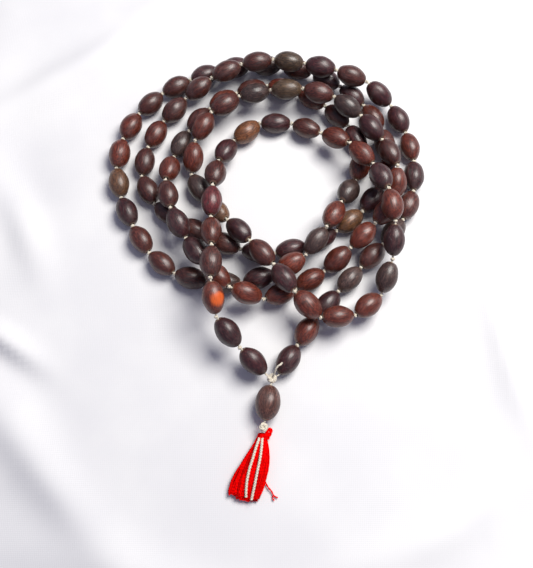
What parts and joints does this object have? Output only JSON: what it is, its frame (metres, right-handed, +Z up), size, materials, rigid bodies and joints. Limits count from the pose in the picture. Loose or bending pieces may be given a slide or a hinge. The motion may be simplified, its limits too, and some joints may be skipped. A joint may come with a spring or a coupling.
{
  "type": "mala prayer beads",
  "caption": "Long string of ovoid lotus-seed beads with a cord knot between neighbours, laid in loose overlapping rounds, with a larger guru seed and a red cotton tassel.",
  "frame": {"origin": "on the table, at the middle of the laid-out string and tassel", "axes": "+Z up from the table, -Y towards the tassel, +X to the right when the tassel points to the viewer"},
  "size_m": [0.1407, 0.2005, 0.0275],
  "materials": {
    "seeds": "satin",
    "guru": "satin",
    "cord": "matt cotton",
    "knots": "matt cotton",
    "tassel": "matt cotton",
    "twist": "twisted cotton"
  },
  "bodies": {
    "strand": {"strand_cord": "cord", "strand_knots": "knots", "seeds_43_53": "seeds", "seeds_54_64": "seeds", "seeds_65_75": "seeds", "seeds_76_86": "seeds", "seeds_87_97": "seeds", "seeds_98_108": "seeds"},
    "gathering": {"gathering_knot": "knots", "knot_tail": "cord"},
    "pendant": {"pendant_cord": "cord"},
    "guru": {"guru_seed": "guru"},
    "lower_knot": {"lower_knot": "knots"},
    "tassel": {"tassel_skirt": "tassel", "tassel_loop": "tassel", "cord_end_left": "twist", "cord_end_right": "twist", "stray_thread": "tassel"},
    "bead_01": {"seed_01": "seeds"},
    "bead_02": {"seed_02": "seeds"},
    "bead_03": {"seed_03": "seeds"},
    "bead_04": {"seed_04": "seeds"},
    "bead_05": {"seed_05": "seeds"},
    "bead_06": {"seed_06": "seeds"},
    "bead_07": {"seed_07": "seeds"},
    "bead_08": {"seed_08": "seeds"},
    "bead_09": {"seed_09": "seeds"},
    "bead_10": {"seed_10": "seeds"},
    "bead_11": {"seed_11": "seeds"},
    "bead_12": {"seed_12": "seeds"},
    "bead_13": {"seed_13": "seeds"},
    "bead_14": {"seed_14": "seeds"},
    "bead_15": {"seed_15": "seeds"},
    "bead_16": {"seed_16": "seeds"},
    "bead_17": {"seed_17": "seeds"},
    "bead_18": {"seed_18": "seeds"},
    "bead_19": {"seed_19": "seeds"},
    "bead_20": {"seed_20": "seeds"},
    "bead_21": {"seed_21": "seeds"},
    "bead_22": {"seed_22": "seeds"},
    "bead_23": {"seed_23": "seeds"},
    "bead_24": {"seed_24": "seeds"},
    "bead_25": {"seed_25": "seeds"},
    "bead_26": {"seed_26": "seeds"},
    "bead_27": {"seed_27": "seeds"},
    "bead_28": {"seed_28": "seeds"},
    "bead_29": {"seed_29": "seeds"},
    "bead_30": {"seed_30": "seeds"},
    "bead_31": {"seed_31": "seeds"},
    "bead_32": {"seed_32": "seeds"},
    "bead_33": {"seed_33": "seeds"},
    "bead_34": {"seed_34": "seeds"},
    "bead_35": {"seed_35": "seeds"},
    "bead_36": {"seed_36": "seeds"},
    "bead_37": {"seed_37": "seeds"},
    "bead_38": {"seed_38": "seeds"},
    "bead_39": {"seed_39": "seeds"},
    "bead_40": {"seed_40": "seeds"},
    "bead_41": {"seed_41": "seeds"},
    "bead_42": {"seed_42": "seeds"}
  },
  "joints": [
    {"name": "knot_swing", "type": "hinge", "parent": "strand", "child": "gathering", "pos_m": [0.00223, -0.05204, 0.0054], "axis": [0, 0, 1], "range_deg": [-25, 25]},
    {"name": "pendant_lift", "type": "hinge", "parent": "gathering", "child": "pendant", "pos_m": [0.00223, -0.05204, 0.0054], "axis": [-1, 0, 0], "range_deg": [0, 70]},
    {"name": "guru_spin", "type": "hinge", "parent": "pendant", "child": "guru", "pos_m": [0.00054, -0.062, 0.0054], "axis": [-0.1676, -0.9859, 0], "continuous": true},
    {"name": "tassel_swing", "type": "hinge", "parent": "pendant", "child": "lower_knot", "pos_m": [-0.00112, -0.07176, 0.0054], "axis": [0, 0, 1], "range_deg": [-30, 30]},
    {"name": "tassel_lift", "type": "hinge", "parent": "lower_knot", "child": "tassel", "pos_m": [-0.00112, -0.07176, 0.0054], "axis": [-1, 0, 0], "range_deg": [0, 60]},
    {"name": "turn_seed_01", "type": "hinge", "parent": "strand", "child": "bead_01", "pos_m": [-0.00539, -0.04566, 0.00825], "axis": [-0.6791, 0.6225, 0.3889], "continuous": true},
    {"name": "turn_seed_02", "type": "hinge", "parent": "strand", "child": "bead_02", "pos_m": [-0.01547, -0.03511, 0.01442], "axis": [-0.5906, 0.707, 0.3889], "continuous": true},
    {"name": "turn_seed_03", "type": "hinge", "parent": "strand", "child": "bead_03", "pos_m": [-0.02129, -0.02227, 0.02059], "axis": [-0.1426, 0.9102, 0.3889], "continuous": true},
    {"name": "turn_seed_04", "type": "hinge", "parent": "strand", "child": "bead_04", "pos_m": [-0.02243, -0.00773, 0.0228], "axis": [-0.0008, 0.9928, -0.1196], "continuous": true},
    {"name": "turn_seed_05", "type": "hinge", "parent": "strand", "child": "bead_05", "pos_m": [-0.02291, 0.00688, 0.01932], "axis": [-0.0617, 0.9404, -0.3343], "continuous": true},
    {"name": "turn_seed_06", "type": "hinge", "parent": "strand", "child": "bead_06", "pos_m": [-0.02318, 0.02148, 0.0166], "axis": [0.0287, 0.9994, -0.0183], "continuous": true},
    {"name": "turn_seed_07", "type": "hinge", "parent": "strand", "child": "bead_07", "pos_m": [-0.02211, 0.03606, 0.01338], "axis": [0.1089, 0.9148, -0.3889], "continuous": true},
    {"name": "turn_seed_08", "type": "hinge", "parent": "strand", "child": "bead_08", "pos_m": [-0.01798, 0.04986, 0.00749], "axis": [0.416, 0.8359, -0.3581], "continuous": true},
    {"name": "turn_seed_09", "type": "hinge", "parent": "strand", "child": "bead_09", "pos_m": [-0.00893, 0.06087, 0.00468], "axis": [0.7926, 0.6097, 0], "continuous": true},
    {"name": "turn_seed_10", "type": "hinge", "parent": "strand", "child": "bead_10", "pos_m": [0.00418, 0.06531, 0.0046], "axis": [0.9999, -0.0019, -0.011], "continuous": true},
    {"name": "turn_seed_11", "type": "hinge", "parent": "strand", "child": "bead_11", "pos_m": [0.01807, 0.06212, 0.0059], "axis": [0.8846, -0.4282, 0.185], "continuous": true},
    {"name": "turn_seed_12", "type": "hinge", "parent": "strand", "child": "bead_12", "pos_m": [0.03066, 0.05475, 0.01036], "axis": [0.7557, -0.527, 0.3889], "continuous": true},
    {"name": "turn_seed_13", "type": "hinge", "parent": "strand", "child": "bead_13", "pos_m": [0.04134, 0.04495, 0.01448], "axis": [0.6351, -0.7598, 0.1395], "continuous": true},
    {"name": "turn_seed_14", "type": "hinge", "parent": "strand", "child": "bead_14", "pos_m": [0.04868, 0.03252, 0.01783], "axis": [0.345, -0.8882, 0.3034], "continuous": true},
    {"name": "turn_seed_15", "type": "hinge", "parent": "strand", "child": "bead_15", "pos_m": [0.05245, 0.01848, 0.01969], "axis": [0.1524, -0.9862, -0.064], "continuous": true},
    {"name": "turn_seed_16", "type": "hinge", "parent": "strand", "child": "bead_16", "pos_m": [0.05309, 0.00396, 0.01614], "axis": [-0.0601, -0.9193, -0.3889], "continuous": true},
    {"name": "turn_seed_17", "type": "hinge", "parent": "strand", "child": "bead_17", "pos_m": [0.05028, -0.01027, 0.00996], "axis": [-0.2934, -0.8733, -0.3889], "continuous": true},
    {"name": "turn_seed_18", "type": "hinge", "parent": "strand", "child": "bead_18", "pos_m": [0.04228, -0.02183, 0.00776], "axis": [-0.7695, -0.6274, 0.1193], "continuous": true},
    {"name": "turn_seed_19", "type": "hinge", "parent": "strand", "child": "bead_19", "pos_m": [0.02936, -0.02735, 0.01009], "axis": [-0.9733, -0.1211, 0.1951], "continuous": true},
    {"name": "turn_seed_20", "type": "hinge", "parent": "strand", "child": "bead_20", "pos_m": [0.01677, -0.02325, 0.0135], "axis": [-0.7048, 0.6606, 0.2587], "continuous": true},
    {"name": "turn_seed_21", "type": "hinge", "parent": "strand", "child": "bead_21", "pos_m": [0.00716, -0.01231, 0.01537], "axis": [-0.5835, 0.8121, -0.0118], "continuous": true},
    {"name": "turn_seed_22", "type": "hinge", "parent": "strand", "child": "bead_22", "pos_m": [-0.00199, -0.00093, 0.01465], "axis": [-0.666, 0.7409, -0.087], "continuous": true},
    {"name": "turn_seed_23", "type": "hinge", "parent": "strand", "child": "bead_23", "pos_m": [-0.01174, 0.00997, 0.01211], "axis": [-0.6425, 0.7236, -0.2521], "continuous": true},
    {"name": "turn_seed_24", "type": "hinge", "parent": "strand", "child": "bead_24", "pos_m": [-0.02137, 0.02098, 0.00741], "axis": [-0.6103, 0.7072, -0.3569], "continuous": true},
    {"name": "turn_seed_25", "type": "hinge", "parent": "strand", "child": "bead_25", "pos_m": [-0.02974, 0.03288, 0.00486], "axis": [-0.4913, 0.8703, 0.0341], "continuous": true},
    {"name": "turn_seed_26", "type": "hinge", "parent": "strand", "child": "bead_26", "pos_m": [-0.03252, 0.04652, 0.00755], "axis": [0.1055, 0.9426, 0.3167], "continuous": true},
    {"name": "turn_seed_27", "type": "hinge", "parent": "strand", "child": "bead_27", "pos_m": [-0.02814, 0.06016, 0.01109], "axis": [0.4833, 0.8628, 0.1484], "continuous": true},
    {"name": "turn_seed_28", "type": "hinge", "parent": "strand", "child": "bead_28", "pos_m": [-0.01845, 0.07056, 0.01222], "axis": [0.8353, 0.5497, 0.0045], "continuous": true},
    {"name": "turn_seed_29", "type": "hinge", "parent": "strand", "child": "bead_29", "pos_m": [-0.00527, 0.07644, 0.0119], "axis": [0.966, 0.2538, -0.0489], "continuous": true},
    {"name": "turn_seed_30", "type": "hinge", "parent": "strand", "child": "bead_30", "pos_m": [0.00911, 0.0781, 0.01254], "axis": [0.9904, -0.0277, 0.1353], "continuous": true},
    {"name": "turn_seed_31", "type": "hinge", "parent": "strand", "child": "bead_31", "pos_m": [0.02338, 0.07566, 0.0137], "axis": [0.9519, -0.3055, 0.0219], "continuous": true},
    {"name": "turn_seed_32", "type": "hinge", "parent": "strand", "child": "bead_32", "pos_m": [0.03617, 0.069, 0.01321], "axis": [0.793, -0.6027, -0.0887], "continuous": true},
    {"name": "turn_seed_33", "type": "hinge", "parent": "strand", "child": "bead_33", "pos_m": [0.04645, 0.05878, 0.01223], "axis": [0.6098, -0.7913, -0.0443], "continuous": true},
    {"name": "turn_seed_34", "type": "hinge", "parent": "strand", "child": "bead_34", "pos_m": [0.0539, 0.04631, 0.01275], "axis": [0.4054, -0.907, 0.1142], "continuous": true},
    {"name": "turn_seed_35", "type": "hinge", "parent": "strand", "child": "bead_35", "pos_m": [0.0563, 0.03235, 0.01153], "axis": [-0.077, -0.9596, -0.2705], "continuous": true},
    {"name": "turn_seed_36", "type": "hinge", "parent": "strand", "child": "bead_36", "pos_m": [0.05104, 0.01944, 0.01007], "axis": [-0.6376, -0.7662, 0.0802], "continuous": true},
    {"name": "turn_seed_37", "type": "hinge", "parent": "strand", "child": "bead_37", "pos_m": [0.0411, 0.00873, 0.00929], "axis": [-0.7069, -0.6832, -0.1833], "continuous": true},
    {"name": "turn_seed_38", "type": "hinge", "parent": "strand", "child": "bead_38", "pos_m": [0.03026, -0.00108, 0.00631], "axis": [-0.745, -0.6311, -0.216], "continuous": true},
    {"name": "turn_seed_39", "type": "hinge", "parent": "strand", "child": "bead_39", "pos_m": [0.01853, -0.00974, 0.0046], "axis": [-0.8422, -0.539, -0.0135], "continuous": true},
    {"name": "turn_seed_40", "type": "hinge", "parent": "strand", "child": "bead_40", "pos_m": [0.00561, -0.0165, 0.00631], "axis": [-0.8961, -0.3729, 0.2406], "continuous": true},
    {"name": "turn_seed_41", "type": "hinge", "parent": "strand", "child": "bead_41", "pos_m": [-0.00824, -0.01757, 0.01121], "axis": [-0.8949, 0.2188, 0.3889], "continuous": true},
    {"name": "turn_seed_42", "type": "hinge", "parent": "strand", "child": "bead_42", "pos_m": [-0.02045, -0.01059, 0.01385], "axis": [-0.6965, 0.7151, -0.0602], "continuous": true}
  ]
}
